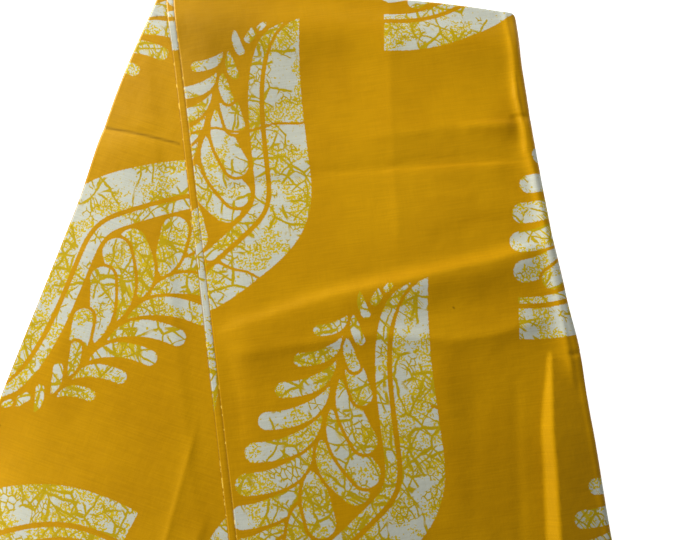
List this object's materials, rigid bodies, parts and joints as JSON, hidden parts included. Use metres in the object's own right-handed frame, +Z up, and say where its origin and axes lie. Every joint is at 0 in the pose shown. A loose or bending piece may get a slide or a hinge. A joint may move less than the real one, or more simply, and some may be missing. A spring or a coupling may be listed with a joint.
{
  "type": "folded wax print cloth",
  "caption": "Length of wax print cotton folded in half lengthwise, turned over once and laid flat with its two stretches spread apart in a narrow inverted V",
  "frame": {"origin": "on the surface the cloth lies on, under the middle of its bounding box", "axes": "+Z up, +Y away from the cut ends towards the turned edge, +X to the right as seen from above with the turned edge at the top"},
  "size_m": [1.0242, 1.1054, 0.0229],
  "materials": {
    "wax_print_cotton": "plain woven cotton, calendered to a slight sheen, printed on both sides with golden yellow round pale crackled leaves"
  },
  "bodies": {
    "root": {"upper_stretch_face": "wax_print_cotton", "upper_stretch_under": "wax_print_cotton", "lower_stretch_face": "wax_print_cotton", "lower_stretch_under": "wax_print_cotton"}
  },
  "joints": []
}
